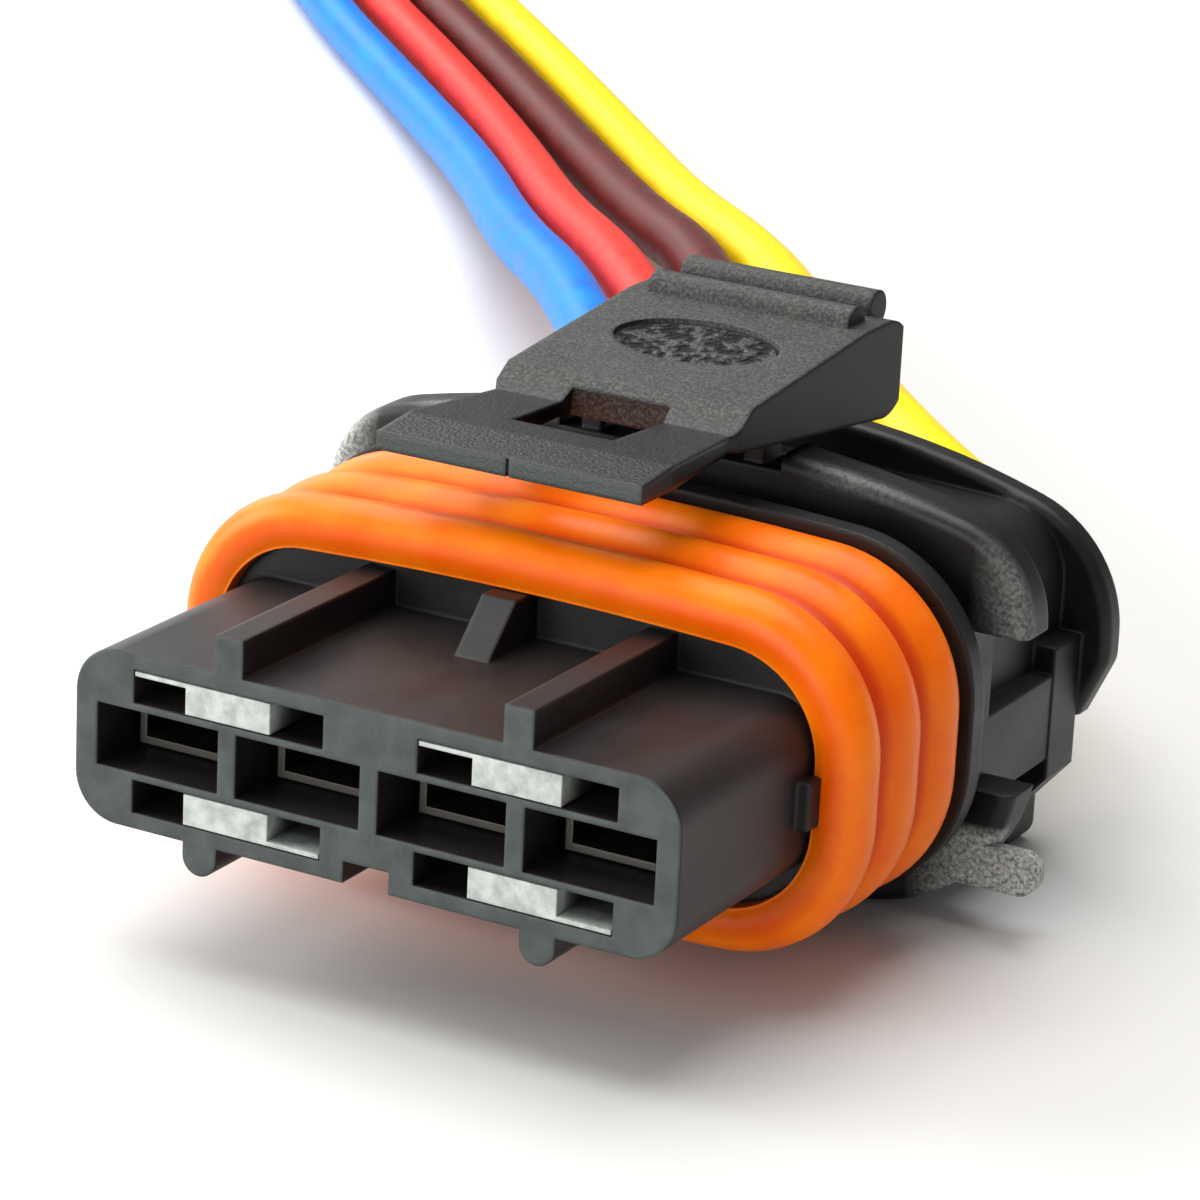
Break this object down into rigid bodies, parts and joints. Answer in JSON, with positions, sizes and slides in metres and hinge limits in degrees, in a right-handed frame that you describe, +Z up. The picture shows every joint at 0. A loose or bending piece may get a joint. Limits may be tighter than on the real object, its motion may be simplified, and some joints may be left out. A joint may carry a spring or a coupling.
{
  "type": "ignition coil connector",
  "caption": "Sealed oblong plug for an ignition coil: keyed black nose, ribbed orange seal, white secondary lock, rocking latch lever and a short loose wire pigtail.",
  "frame": {"origin": "centre of the mating face, midway between the second and third contact", "axes": "+X to the right along the contact row as seen from the mating side, +Y back towards the wires, +Z up towards the latch lever"},
  "size_m": [0.1036, 0.1431, 0.018],
  "materials": {
    "housing": "moulded, satin",
    "lever": "moulded, spark-eroded grain",
    "seal_orange": "satin silicone",
    "lock_white": "moulded, satin",
    "contact": "tin plated",
    "cage": "bright",
    "wire_seal": "matte silicone",
    "copper": "bare strands",
    "wire_blue": "satin insulation",
    "wire_red": "satin insulation",
    "wire_brown": "satin insulation",
    "wire_yellow": "satin insulation"
  },
  "bodies": {
    "connector": {"housing": "housing", "perimeter_seal": "seal_orange", "contact_1": "contact", "contact_cage_1": "cage", "wire_seal_1": "wire_seal", "conductor_1": "copper", "wire_1": "wire_blue", "wire_tip_1": "copper", "contact_2": "contact", "contact_cage_2": "cage", "wire_seal_2": "wire_seal", "conductor_2": "copper", "wire_2": "wire_red", "wire_tip_2": "copper", "contact_3": "contact", "contact_cage_3": "cage", "wire_seal_3": "wire_seal", "conductor_3": "copper", "wire_3": "wire_brown", "wire_tip_3": "copper", "contact_4": "contact", "contact_cage_4": "cage", "wire_seal_4": "wire_seal", "conductor_4": "copper", "wire_4": "wire_yellow", "wire_tip_4": "copper"},
    "lever": {"latch_lever": "lever"},
    "lock": {"secondary_lock": "lock_white"}
  },
  "joints": [
    {"name": "lever_rock", "type": "hinge", "parent": "connector", "child": "lever", "pos_m": [0, 0.0185, 0.00775], "axis": [-1, 0, 0], "range_deg": [0, 5.5], "stiffness_Nm_per_rad": 0.6, "springref_deg": -1.15},
    {"name": "lock_pull", "type": "slide", "parent": "connector", "child": "lock", "axis": [0, -1, 0], "range_m": [0, 0.0015]}
  ]
}
